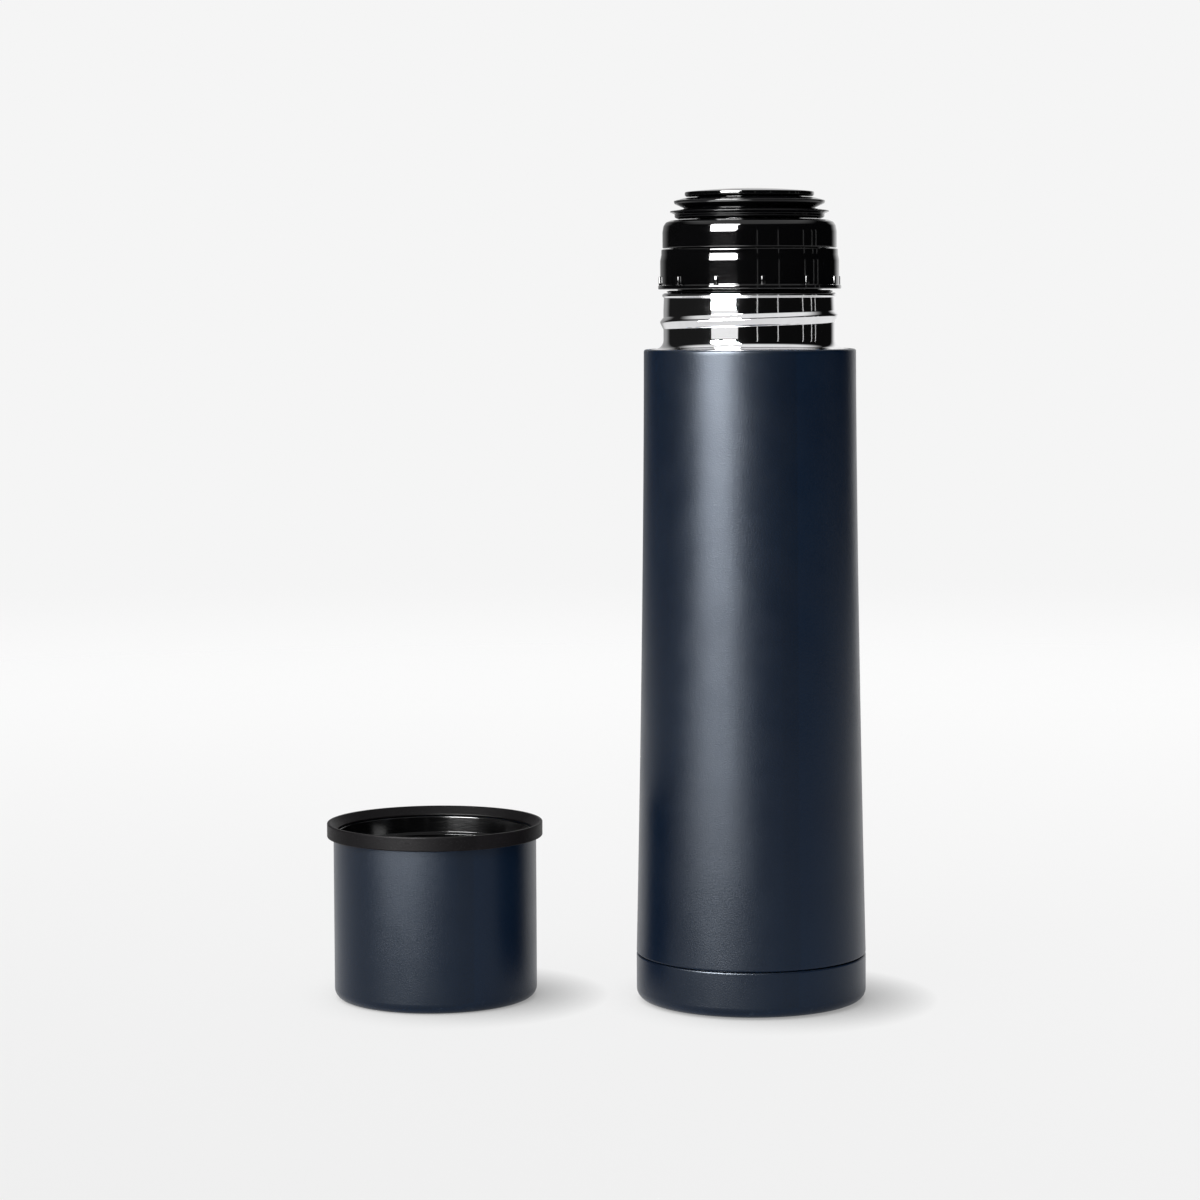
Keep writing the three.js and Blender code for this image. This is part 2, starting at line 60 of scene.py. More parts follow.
class Size:
    """Radius, bottom, top and axis of a CAD node, in millimetres."""

    def __init__(self, node):
        low, high = (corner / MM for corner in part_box(node))
        self.r = (high.x - low.x) / 2
        self.bottom, self.top = low.z, high.z
        self.axis = ((low.x + high.x) / 2, (low.y + high.y) / 2)


FLASK_AXIS = (0.0, 0.0)
CUP_AXIS = Size("cup_shell").axis
SHEET = 0.6  # drawn steel


# ---------- Node trees ----------

class Wiring:
    """Adds nodes to a tree and joins them up."""

    def __init__(self, tree):
        self.tree = tree

    def add(self, kind, inputs=None, **settings):
        node = self.tree.nodes.new(kind)
        for key, value in settings.items():
            setattr(node, key, value)
        for key, value in (inputs or {}).items():
            if isinstance(value, bpy.types.NodeSocket):
                self.tree.links.new(value, node.inputs[key])
            else:
                node.inputs[key].default_value = value
        return node

    def math(self, operation, *values, clamp=False):
        node = self.add("ShaderNodeMath", dict(enumerate(values)), operation=operation, use_clamp=clamp)
        return node.outputs[0]

    def ramp(self, value, low, high, to_low=0.0, to_high=1.0, smooth=True):
        """value from low..high to to_low..to_high, eased at both ends."""
        node = self.add(
            "ShaderNodeMapRange",
            {0: value, 1: low, 2: high, 3: to_low, 4: to_high},
            interpolation_type="SMOOTHSTEP" if smooth else "LINEAR",
        )
        return node.outputs[0]


def geometry_tree(name, inputs):
    """An empty geometry tree with named inputs, its wiring and its two end nodes."""
    tree = bpy.data.node_groups.new(name, "GeometryNodeTree")
    tree.interface.new_socket("Geometry", in_out="INPUT", socket_type="NodeSocketGeometry")
    for label, kind, value in inputs:
        socket = tree.interface.new_socket(label, in_out="INPUT", socket_type="NodeSocket" + kind)
        if value is not None:
            socket.default_value = value
    tree.interface.new_socket("Geometry", in_out="OUTPUT", socket_type="NodeSocketGeometry")
    wires = Wiring(tree)
    given = wires.add("NodeGroupInput").outputs
    end = wires.add("NodeGroupOutput").inputs[0]
    return wires, given, end


def close_tree(wires, given, end, geometry):
    """Ends a tree with Realize Instances and Set Material."""
    real = wires.add("GeometryNodeRealizeInstances", {0: geometry}).outputs[0]
    dressed = wires.add("GeometryNodeSetMaterial", {"Geometry": real, "Material": given["Material"]})
    wires.tree.links.new(dressed.outputs[0], end)
    return wires.tree


def lathe_tree():
    """Sweeps the outline (radius, -height) round a circle, which turns it about Z."""
    wires, given, end = geometry_tree(
        "Turned on a lathe",
        [
            ("Steps", "Int", STEPS_ROUND),
            ("Mandrel Radius", "Float", 0.01),
            ("Material", "Material", None),
        ],
    )
    outline = wires.add("GeometryNodeMeshToCurve", {0: given["Geometry"]}).outputs[0]
    back = wires.math("MULTIPLY", given["Mandrel Radius"], -1.0)
    shift = wires.add("ShaderNodeCombineXYZ", {0: back}).outputs[0]
    profile = wires.add("GeometryNodeTransform", {"Geometry": outline, "Translation": shift}).outputs[0]
    circle = wires.add(
        "GeometryNodeCurvePrimitiveCircle",
        {"Resolution": given["Steps"], "Radius": given["Mandrel Radius"]},
    ).outputs[0]
    turned = wires.add("GeometryNodeCurveToMesh", {"Curve": circle, "Profile Curve": profile}).outputs[0]
    closed = wires.add("GeometryNodeMergeByDistance", {"Geometry": turned, "Distance": 2e-7}).outputs[0]
    return close_tree(wires, given, end, closed)


def thread_tree():
    """Rolls one right-handed thread into the points on a cylinder of the root radius."""
    wires, given, end = geometry_tree(
        "Rolled thread",
        [
            ("Root Radius", "Float", 0.02), ("Height", "Float", 0.001), ("Width Below", "Float", 0.001),
            ("Width Above", "Float", 0.001), ("Front Level", "Float", 0.0), ("Pitch", "Float", 0.0043),
            ("Start Turn", "Float", -0.5), ("End Turn", "Float", 0.5), ("Fade Turns", "Float", 0.14),
            ("Crest Round", "Float", 0.2), ("Material", "Material", None),
        ],
    )
    place = wires.add("GeometryNodeInputPosition").outputs[0]
    x, y, z = wires.add("ShaderNodeSeparateXYZ", {0: place}).outputs
    around = wires.math("ARCTAN2", x, wires.math("MULTIPLY", y, -1.0))
    turn = wires.math("DIVIDE", around, 2 * math.pi)
    level = wires.math("DIVIDE", wires.math("SUBTRACT", z, given["Front Level"]), given["Pitch"])
    past = wires.math("SUBTRACT", level, turn)
    whole = wires.math("ROUND", past)
    off = wires.math("MULTIPLY", wires.math("SUBTRACT", past, whole), given["Pitch"])
    along = wires.math("ADD", turn, whole)
    above = wires.math("DIVIDE", wires.math("MAXIMUM", off, 0.0), given["Width Above"])
    below = wires.math("DIVIDE", wires.math("MINIMUM", off, 0.0), given["Width Below"])
    share = wires.math("MINIMUM", wires.math("SUBTRACT", above, below), 1.0)
    # Straight flanks that meet in a round crest: a hyperbola from 1 at the crest to 0 at the root.
    soft = given["Crest Round"]
    square = wires.math("MULTIPLY", soft, soft)
    fall = wires.math("SQRT", wires.math("ADD", wires.math("MULTIPLY", share, share), square))
    full = wires.math("SQRT", wires.math("ADD", 1.0, square))
    fallen = wires.math("DIVIDE", wires.math("SUBTRACT", fall, soft), wires.math("SUBTRACT", full, soft))
    bump = wires.math("SUBTRACT", 1.0, fallen)
    start_full = wires.math("ADD", given["Start Turn"], given["Fade Turns"])
    end_full = wires.math("SUBTRACT", given["End Turn"], given["Fade Turns"])
    run_in = wires.ramp(along, given["Start Turn"], start_full)
    run_out = wires.ramp(along, end_full, given["End Turn"], 1.0, 0.0)
    raised = wires.math("MULTIPLY", wires.math("MULTIPLY", bump, run_in), run_out)
    raised = wires.math("MULTIPLY", raised, given["Height"])
    radial = wires.add("ShaderNodeCombineXYZ", {0: x, 1: y}).outputs[0]
    length = wires.add("ShaderNodeVectorMath", {0: radial}, operation="LENGTH").outputs["Value"]
    unit = wires.add("ShaderNodeVectorMath", {0: radial}, operation="NORMALIZE").outputs[0]
    push = wires.add("ShaderNodeVectorMath", {0: unit, "Scale": raised}, operation="SCALE").outputs[0]
    off_root = wires.math("ABSOLUTE", wires.math("SUBTRACT", length, given["Root Radius"]))
    on_root = wires.math("LESS_THAN", off_root, ON_ROOT)
    rolled = wires.add(
        "GeometryNodeSetPosition",
        {"Geometry": given["Geometry"], "Selection": on_root, "Offset": push},
    ).outputs[0]
    return close_tree(wires, given, end, rolled)


def rib_tree():
    """Copies the piece it is on round the axis at equal steps."""
    wires, given, end = geometry_tree(
        "Grip ribs",
        [
            ("Count", "Int", 12), ("Radius", "Float", 0.026), ("Level", "Float", 0.2),
            ("First Angle", "Float", 0.0), ("Material", "Material", None),
        ],
    )
    ring = wires.add(
        "GeometryNodeMeshCircle", {"Vertices": given["Count"], "Radius": given["Radius"]}
    ).outputs[0]
    lift = wires.add("ShaderNodeCombineXYZ", {2: given["Level"]}).outputs[0]
    spin = wires.add("ShaderNodeCombineXYZ", {2: given["First Angle"]}).outputs[0]
    placed = wires.add(
        "GeometryNodeTransform", {"Geometry": ring, "Translation": lift, "Rotation": spin}
    ).outputs[0]
    place = wires.add("GeometryNodeInputPosition").outputs[0]
    x, y, _ = wires.add("ShaderNodeSeparateXYZ", {0: place}).outputs
    facing = wires.add("ShaderNodeCombineXYZ", {2: wires.math("ARCTAN2", y, x)}).outputs[0]
    copies = wires.add(
        "GeometryNodeInstanceOnPoints",
        {"Points": placed, "Instance": given["Geometry"], "Rotation": facing},
    ).outputs[0]
    return close_tree(wires, given, end, copies)


def run_tree(piece, tree, **values):
    """The plain mesh that a tree makes from a piece, with its inputs set by name."""
    modifier = piece.modifiers.new(tree.name, "NODES")
    modifier.node_group = tree
    for item in tree.interface.items_tree:
        key = item.name.replace(" ", "_").lower()
        if item.in_out == "INPUT" and key in values:
            modifier[item.identifier] = values[key]
    bpy.context.view_layer.update()
    ready = piece.evaluated_get(bpy.context.evaluated_depsgraph_get())
    mesh = bpy.data.meshes.new_from_object(ready)
    piece.modifiers.remove(modifier)
    piece.data = mesh
    return piece


# ---------- Outlines and turned pieces ----------

def arc_points(corner, before, after, radius, radius_before, radius_after):
    """A corner of an outline rounded off to a radius, or as much as its two sides allow.
    Two rounded corners share the side between them in proportion to their radii."""
    to_before, to_after = before - corner, after - corner
    half = to_before.angle(to_after) / 2
    if half > math.radians(89.5):
        return [corner]
    room_before = 0.96 * to_before.length * radius / (radius + radius_before)
    room_after = 0.96 * to_after.length * radius / (radius + radius_after)
    cut = min(radius / math.tan(half), room_before, room_after)
    radius = cut * math.tan(half)
    middle = (to_before.normalized() + to_after.normalized()).normalized()
    centre = corner + middle * radius / math.sin(half)
    first = corner + to_before.normalized() * cut - centre
    last = corner + to_after.normalized() * cut - centre
    sweep = first.angle(last)
    points = []
    for i in range(FILLET_STEPS + 1):
        turn = sweep * i / FILLET_STEPS
        spoke = first * math.sin(sweep - turn) + last * math.sin(turn)
        points.append(centre + spoke / math.sin(sweep))
    return points


def outline_points(corners, closed):
    """Outline from (radius, height) or (radius, height, rounding) corners.
    Long straight stretches get a point near each end, so that shading stays flat along them."""
    spots = [Vector(corner[:2]) for corner in corners]
    radii = [corner[2] if len(corner) == 3 else 0 for corner in corners]
    rounded = []
    for i, spot in enumerate(spots):
        before, after = i - 1, (i + 1) % len(spots)
        if radii[i] and (closed or 0 < i < len(spots) - 1):
            rounded += arc_points(
                spot, spots[before], spots[after], radii[i], radii[before], radii[after]
            )
        else:
            rounded.append(spot)
    held = []
    pairs = list(zip(rounded, rounded[1:] + rounded[:1]))
    for a, b in pairs if closed else pairs[:-1]:
        held.append(a)
        if (b - a).length > 0.9:
            hold = (b - a).normalized() * HOLD
            held += [a + hold, b - hold]
    if not closed:
        held.append(rounded[-1])
    return held


def clean(mesh):
    """Merges doubles, turns the faces outwards, smooths them and marks the sharp edges."""
    work = bmesh.new()
    work.from_mesh(mesh)
    bmesh.ops.remove_doubles(work, verts=work.verts, dist=MERGE)
    bmesh.ops.recalc_face_normals(work, faces=work.faces)
    work.to_mesh(mesh)
    work.free()
    for face in mesh.polygons:
        face.use_smooth = True
    mesh.set_sharp_from_angle(angle=SHARP)


TURN = lathe_tree()
ROLL = thread_tree()
COPY_ROUND = rib_tree()


def turned(name, corners, finish, axis=FLASK_AXIS, steps=STEPS_ROUND, threads=()):
    """A solid of revolution from outline corners, with any threads rolled into it."""
    closed = not (corners[0][0] == 0 and corners[-1][0] == 0)
    points = outline_points(corners, closed)
    edges = [(i, i + 1) for i in range(len(points) - 1)]
    if closed:
        edges.append((len(points) - 1, 0))
    mesh = bpy.data.meshes.new(name)
    mesh.from_pydata([(p.x * MM, -p.y * MM, 0) for p in points], edges, [])
    piece = bpy.data.objects.new(name, mesh)
    bpy.context.scene.collection.objects.link(piece)
    run_tree(piece, TURN, steps=steps, material=finish)
    for thread in threads:
        run_tree(piece, ROLL, material=finish, **thread)
    piece.data.transform(piece.matrix_world)
    for vertex in piece.data.vertices:
        vertex.co.x += axis[0] * MM
        vertex.co.y += axis[1] * MM
    clean(piece.data)
    return piece


def levels(low, high, count):
    """Heights from one to another, both included."""
    return [low + (high - low) * i / (count - 1) for i in range(count)]


def settle(piece, body, node):
    """Puts a finished piece on its body, in place of its CAD node."""
    piece.data.name = piece.name
    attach(piece, body)
    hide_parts(node)


# ---------- Materials ----------

def material(name, **plain):
    """A Principled material, with plain values set on the shader's own sockets."""
    made = bpy.data.materials.new(name)
    made.use_nodes = True
    wires = Wiring(made.node_tree)
    shader = made.node_tree.nodes["Principled BSDF"]
    for label, value in plain.items():
        shader.inputs[label.replace("_", " ")].default_value = value
    spot = wires.add("ShaderNodeTexCoord").outputs["Object"]
    return made, wires, shader, spot


def noise(wires, spot, scale, detail=2.0, rough=0.5, stretch=None):
    """Fractal noise; scale is features per metre, stretch scales the pattern's axes."""
    if stretch:
        spot = wires.add("ShaderNodeMapping", {"Vector": spot, "Scale": stretch}).outputs[0]
    inputs = {"Vector": spot, "Scale": scale, "Detail": detail, "Roughness": rough}
    return wires.add("ShaderNodeTexNoise", inputs).outputs["Fac"]


def mix_colour(wires, share, a, b):
    node = wires.add("ShaderNodeMix", data_type="RGBA")
    for index, value in ((0, share), (6, a), (7, b)):
        if isinstance(value, bpy.types.NodeSocket):
            wires.tree.links.new(value, node.inputs[index])
        else:
            node.inputs[index].default_value = value if index == 0 else (*value, 1.0)
    return node.outputs[2]


def bump(wires, height, distance, strength, under=None):
    inputs = {"Height": height, "Distance": distance, "Strength": strength}
    if under is not None:
        inputs["Normal"] = under
    return wires.add("ShaderNodeBump", inputs).outputs[0]


def worn_band(wires, spot, low, high, amount):
    """Patchy wear between two heights, in metres, for the edges that get knocked."""
    _, _, z = wires.add("ShaderNodeSeparateXYZ", {0: spot}).outputs
    middle, reach = (low + high) / 2, (high - low) / 2
    off = wires.math("ABSOLUTE", wires.math("SUBTRACT", z, middle))
    near = wires.ramp(off, reach * 0.3, reach, 1.0, 0.0)
    patches = wires.ramp(noise(wires, spot, 420, 4.0, 0.7), 0.58, 0.7)
    return wires.math("MULTIPLY", wires.math("MULTIPLY", near, patches), amount)


NAVY_DEEP, NAVY = (0.0008, 0.0080, 0.0255), (0.0011, 0.0100, 0.0300)
NAVY_RUBBED = (0.03, 0.045, 0.07)
BLACK = (0.002, 0.002, 0.0023)


def navy_paint(name, edge_low, edge_high):
    """Satin powder coat: fine orange peel, slight change of tone, rubbed at one edge."""
    tint = (0.86, 0.93, 1.0, 1.0)
    made, wires, shader, spot = material(name, Metallic=0.0, IOR=1.31, Specular_Tint=tint)
    cloud = wires.ramp(noise(wires, spot, 24, 3.0), 0.3, 0.7)
    tone = mix_colour(wires, cloud, NAVY_DEEP, NAVY)
    worn = worn_band(wires, spot, edge_low, edge_high, 0.5)
    colour = mix_colour(wires, worn, tone, NAVY_RUBBED)
    peel = noise(wires, spot, 2700, 2.0)
    rough = wires.ramp(noise(wires, spot, 90, 3.0), 0.3, 0.7, 0.30, 0.33)
    rough = wires.math("ADD", rough, wires.math("MULTIPLY", worn, -0.12))
    normal = bump(wires, peel, 0.00004, 1.0)
    normal = bump(wires, noise(wires, spot, 260, 2.0), 0.00012, 0.08, normal)
    wires.tree.links.new(colour, shader.inputs["Base Color"])
    wires.tree.links.new(rough, shader.inputs["Roughness"])
    wires.tree.links.new(normal, shader.inputs["Normal"])
    return made


def steel(name, base, rough_low, rough_high, line_strength, ripple_strength):
    """Turned steel: faint rings round the axis, a slight ripple, patches of finer and coarser polish."""
    made, wires, shader, spot = material(name, Metallic=1.0, IOR=2.5)
    rings = noise(wires, spot, 1.0, 3.0, 0.6, (40, 40, 5200))
    patches = noise(wires, spot, 140, 4.0, 0.6)
    tint = mix_colour(wires, wires.ramp(patches, 0.35, 0.7), base, tuple(c * 0.93 for c in base))
    rough = wires.ramp(patches, 0.3, 0.75, rough_low, rough_high)
    normal = bump(wires, noise(wires, spot, 150, 1.5), 0.0003, ripple_strength)
    normal = bump(wires, rings, 0.00002, line_strength, normal)
    wires.tree.links.new(tint, shader.inputs["Base Color"])
    wires.tree.links.new(rough, shader.inputs["Roughness"])
    wires.tree.links.new(normal, shader.inputs["Normal"])
    return made


def moulded(name, base, rough_low, rough_high, grain_scale, grain_strength, speck=0.0, ior=1.49):
    """Moulded plastic or rubber: colour variation, fine grain, specks of dust, soft scratches."""
    made, wires, shader, spot = material(name, Metallic=0.0, IOR=ior)
    cloud = noise(wires, spot, 60, 3.0)
    tone = mix_colour(wires, wires.ramp(cloud, 0.3, 0.7), base, tuple(c * 1.35 for c in base))
    specks = wires.ramp(noise(wires, spot, 2600, 1.0, 0.4), 0.66, 0.74)
    colour = mix_colour(wires, wires.math("MULTIPLY", specks, speck), tone, (0.16, 0.16, 0.165))
    scratches = noise(wires, spot, 1.0, 4.0, 0.65, (300, 300, 3000))
    rough = wires.ramp(scratches, 0.45, 0.8, rough_low, rough_high)
    normal = bump(wires, noise(wires, spot, grain_scale, 2.0), 0.00005, grain_strength)
    wires.tree.links.new(colour, shader.inputs["Base Color"])
    wires.tree.links.new(rough, shader.inputs["Roughness"])
    wires.tree.links.new(normal, shader.inputs["Normal"])
    return made


shell_size = Size("outer_shell")
SHOULDER_Z = shell_size.top
BODY_PAINT = navy_paint("navy_powder_coat", 0.0, 4 * MM)
SHELL_PAINT = navy_paint(
    "navy_powder_coat_shell", (SHOULDER_Z - 1.6) * MM, (SHOULDER_Z + 0.6) * MM
)
POLISHED = steel("polished_steel", (0.79, 0.79, 0.80), 0.03, 0.06, 0.06, 0.06)
ETCHED = steel("etched_steel", (0.62, 0.62, 0.63), 0.24, 0.36, 0.22, 0.05)
GLOSS_BLACK = moulded("gloss_black_plastic", BLACK, 0.05, 0.085, 420, 0.03, 0.01, 1.45)
LINER_BLACK = moulded("liner_black_plastic", BLACK, 0.13, 0.18, 500, 0.05, 0.01, 1.38)
SEAL_RUBBER = moulded("seal_rubber", (0.002, 0.002, 0.0025), 0.12, 0.18, 700, 0.08, 0.01, 1.3)
COLLAR_RUBBER = moulded(
    "collar_rubber", (0.0085, 0.0075, 0.0085), 0.42, 0.55, 1300, 1.0, 0.10, 1.13
)
PAD_RUBBER = moulded("pad_rubber", (0.02, 0.02, 0.021), 0.6, 0.72, 800, 0.4, 0.3)
FOAM = moulded("rigid_foam", (0.62, 0.59, 0.50), 0.85, 0.95, 1500, 0.9)
SINTERED = moulded("sintered_compound", (0.24, 0.23, 0.22), 0.7, 0.9, 2600, 0.9)
FOIL = steel("copper_foil", (0.80, 0.44, 0.28), 0.14, 0.3, 0.05, 0.5)


# ---------- Flask body ----------

WIDENING = 2.8  # from the shoulder to the base
SEAM_Z = 14.0
BASE_R = Size("base_cup").r
SHOULDER_R = BASE_R - WIDENING
VACUUM_SPACE = 2.6


def body_radius(z):
    """The shell widens towards the base, faster the lower it gets."""
    down = min(max((SHOULDER_Z - z) / (SHOULDER_Z - SEAM_Z), 0.0), 1.0)
    return SHOULDER_R + WIDENING * down ** 1.5


def bottle_radius(z):
    """The inner bottle keeps the same distance from the shell all the way."""
    return body_radius(z) - SHEET - VACUUM_SPACE


def outer_shell():
    """Thin shell, open below, with its top edge rolled in to the shoulder ring."""
    low, flange = shell_size.bottom, Size("neck_shoulder").r + 0.3
    outside = levels(low + 1.5, SHOULDER_Z - 1.5, 24)
    inside = levels(SHOULDER_Z - 2.0, low + 1.0, 14)
    corners = [(body_radius(low), low, 0.42)]
    corners += [(body_radius(z), z) for z in outside]
    corners += [
        (SHOULDER_R, SHOULDER_Z - 0.15, 1.4),
        (SHOULDER_R - 1.0, SHOULDER_Z, 0.8),
        (flange, SHOULDER_Z, 0.15),
        (flange, SHOULDER_Z - SHEET, 0.15),
        (SHOULDER_R - SHEET, SHOULDER_Z - SHEET, 0.5),
    ]
    corners += [(body_radius(z) - SHEET, z) for z in inside]
    corners.append((body_radius(low) - SHEET, low, 0.1))
    return turned("outer_shell", corners, SHELL_PAINT)


def base_cup():
    """Pressed base with a recess for the pad and a spigot that fits inside the shell."""
    size, pad = Size("base_cup"), Size("base_pad")
    rim, spigot, foot = SEAM_Z - 0.15, size.r - SHEET - 0.5, size.bottom
    recess = pad.r + 0.3
    corners = [
        (0, pad.top + 0.3),
        (recess, pad.top + 0.3, 0.3),
        (recess + 0.4, foot, 0.5),
        (size.r, foot, 3.0),
        (size.r, rim, 0.42),
        (spigot, rim, 0.1),
        (spigot, size.top, 0.15),
        (spigot - SHEET, size.top, 0.15),
        (spigot - SHEET, rim - 1.2, 0.3),
        (size.r - SHEET, rim - 2.0, 0.3),
        (size.r - SHEET, foot + SHEET, 2.4),
        (recess + 1.0, foot + SHEET, 0.3),
        (recess, pad.top + 0.3 + SHEET, 0.3),
        (0, pad.top + 0.3 + SHEET),
    ]
    return turned("base_cup", corners, BODY_PAINT)


def base_pad():
    """Soft disc with three shallow rings pressed into its face."""
    size = Size("base_pad")
    corners = [(0, size.bottom)]
    for ring in (9.0, 15.0, 21.0):
        corners += [(ring, size.bottom, 0.2), (ring + 0.3, size.bottom + 0.3, 0.15)]
        corners += [(ring + 0.9, size.bottom + 0.3, 0.15), (ring + 1.2, size.bottom, 0.2)]
    corners += [(size.r, size.bottom, 0.45), (size.r, size.top, 0.2), (0, size.top)]
    return turned("base_pad", corners, PAD_RUBBER)


NECK_R = 25.4
FILLET = 2.6
PITCH = 4.3
neck_size = Size("neck_shoulder")
MOUTH_R = 23.8
LIP_Z = neck_size.top
LIP_R = 25.7
SEAT_Z = 197.0  # seat of the plug's gasket
THROAT_R = 21.6
THREAD_CREST_Z = 203.6  # level of the neck's inner thread ridge at the front


def thread(root, height, below, above, front, start, end, fade=50, crest=0.35):
    """The thread tree's inputs from sizes in millimetres and angles from the front in degrees."""
    return {
        "root_radius": root * MM, "height": height * MM, "width_below": below * MM,
        "width_above": above * MM, "front_level": front * MM, "pitch": PITCH * MM,
        "start_turn": start / 360, "end_turn": end / 360, "fade_turns": fade / 360, "crest_round": crest,
    }


def neck_shoulder():
    """Polished shoulder ring, neck with its rolled bead, and the lip rolled over the mouth."""
    inside = NECK_R - SHEET
    ring, low = neck_size.r, neck_size.bottom
    corners = [
        (ring, low, 0.1),
        (ring, SHOULDER_Z - 0.1, 0.25),
        (NECK_R, SHOULDER_Z + 0.3, FILLET),
    ]
    corners += [(NECK_R, z) for z in levels(196.2, 204.2, 80)]
    corners += [
        (NECK_R - 0.16, LIP_Z - 1.35, 0.2),
        (LIP_R, LIP_Z - 0.95, 0.3),
        (LIP_R, LIP_Z - 0.35, 0.4),
        (LIP_R - 0.5, LIP_Z, 0.4),
        (LIP_R - 1.2, LIP_Z, 0.4),
        (MOUTH_R, LIP_Z - 0.6, 0.3),
        (MOUTH_R, LIP_Z - 1.0, 0.1),
        (inside, LIP_Z - 1.3, 0.2),
        (inside, low, FILLET + SHEET),
    ]
    bead = thread(NECK_R, 0.95, 2.2, 1.35, 201.85, -150, 250, 60, 0.2)
    return turned("neck_shoulder", corners, POLISHED, threads=[bead])


def inner_neck():
    """Throat, seat of the plug's gasket, and the neck with the stopper's thread."""
    size = Size("inner_neck")
    under_seat = SEAT_Z - 2.4
    corners = [
        (THROAT_R + SHEET, size.bottom, 0.1),
        (THROAT_R + SHEET, under_seat, 0.8),
        (MOUTH_R + SHEET, SEAT_Z, 0.8),
        (MOUTH_R + SHEET, size.top, 0.1),
        (MOUTH_R, size.top, 0.1),
    ]
    corners += [(MOUTH_R, z) for z in levels(207.6, 199.4, 80)]
    corners += [
        (MOUTH_R, SEAT_Z, 0.8),
        (THROAT_R, under_seat, 0.8),
        (THROAT_R, size.bottom, 0.1),
    ]
    inner = thread(MOUTH_R, -1.1, 1.0, 1.0, THREAD_CREST_Z, -200, 200)
    return turned("inner_neck", corners, ETCHED, threads=[inner])


def inner_bottle_wall():
    """Wall that follows the outer shell, and the shoulder that draws in to the throat."""
    size = Size("inner_bottle_wall")
    shoulder = 181.0
    outside = levels(size.bottom + 0.6, shoulder - 4, 12)
    corners = [(bottle_radius(size.bottom), size.bottom, 0.1)]
    corners += [(bottle_radius(z), z) for z in outside]
    corners += [
        (bottle_radius(shoulder), shoulder, 3.0),
        (THROAT_R + SHEET, size.top, 0.1),
        (THROAT_R, size.top, 0.1),
        (bottle_radius(shoulder) - SHEET, shoulder - 0.3, 2.6),
    ]
    corners += [(bottle_radius(z) - SHEET, z) for z in reversed(outside)]
    corners.append((bottle_radius(size.bottom) - SHEET, size.bottom, 0.1))
    return turned("inner_bottle_wall", corners, ETCHED)


def inner_bottle_bottom():
    size = Size("inner_bottle_bottom")
    corners = [
        (0, size.bottom),
        (size.r, size.bottom, 6.0),
        (size.r, size.top, 0.1),
        (size.r - SHEET, size.top, 0.1),
        (size.r - SHEET, size.bottom + SHEET, 5.4),
        (0, size.bottom + SHEET),
    ]
    return turned("inner_bottle_bottom", corners, ETCHED, steps=STEPS_HIDDEN)


def vacuum_end_plate():
    """Dished plate with a dimple round the pumping hole."""
    size = Size("vacuum_end_plate")
    low, r = size.bottom, size.r
    hole, dimple_top, dimple_foot, rise = 1.2, 4.2, 7.0, 2.2
    corners = [
        (hole, low + rise, 0.1),
        (dimple_top, low + rise, 0.8),
        (dimple_foot, low, 0.8),
        (r, low, 2.0),
        (r, size.top, 0.1),
        (r - SHEET, size.top, 0.1),
        (r - SHEET, low + SHEET, 1.6),
        (dimple_foot + 0.3, low + SHEET, 0.8),
        (dimple_top + 0.3, low + rise + SHEET, 0.8),
        (hole, low + rise + SHEET, 0.1),
    ]
    return turned("vacuum_end_plate", corners, ETCHED, steps=STEPS_HIDDEN)


def sealing_bead():
    size = Size("sealing_bead")
    corners = [(0, size.bottom), (size.r, size.bottom, 0.5), (size.r, size.top, 0.5), (0, size.top)]
    return turned("sealing_bead", corners, SINTERED, steps=STEPS_SMALL)


def getter_clip():
    """Cup-shaped holder, open below, that keeps the pellet in place."""
    size = Size("getter_clip")
    wall = 0.5
    corners = [
        (0, size.top - wall),
        (size.r - wall, size.top - wall, 0.3),
        (size.r - wall, size.bottom, 0.1),
        (size.r, size.bottom, 0.1),
        (size.r, size.top, 0.6),
        (0, size.top),
    ]
    return turned("getter_clip", corners, ETCHED, size.axis, STEPS_SMALL)


def getter_pellet():
    size = Size("getter_pellet")
    corners = [(0, size.bottom), (size.r, size.bottom, 0.3), (size.r, size.top, 0.3), (0, size.top)]
    return turned("getter_pellet", corners, SINTERED, size.axis, STEPS_SMALL)


def foil_wrap():
    """Thin foil just outside the inner bottle's wall."""
    size = Size("foil_wrap")
    rise = levels(size.bottom, size.top, 8)
    gap, thick = 0.5, 0.3
    corners = [(bottle_radius(z) + gap + thick, z) for z in rise]
    corners += [(bottle_radius(z) + gap, z) for z in reversed(rise)]
    return turned("foil_wrap", corners, FOIL, steps=STEPS_HIDDEN)


# ---------- Stopper ----------

STOPPER_WALL = 2.0
COLLAR_R = 26.3
PLUG_NECK_R = 21.2
TOP_STEM_R = 15.3
RIB_COUNT = 12
RIB_TALL, RIB_WIDE, RIB_PROUD, RIB_SUNK = 2.7, 1.25, 0.6, 1.0
RIB_EDGE = 0.28
RIB_FIRST = math.radians(-90 + 6)


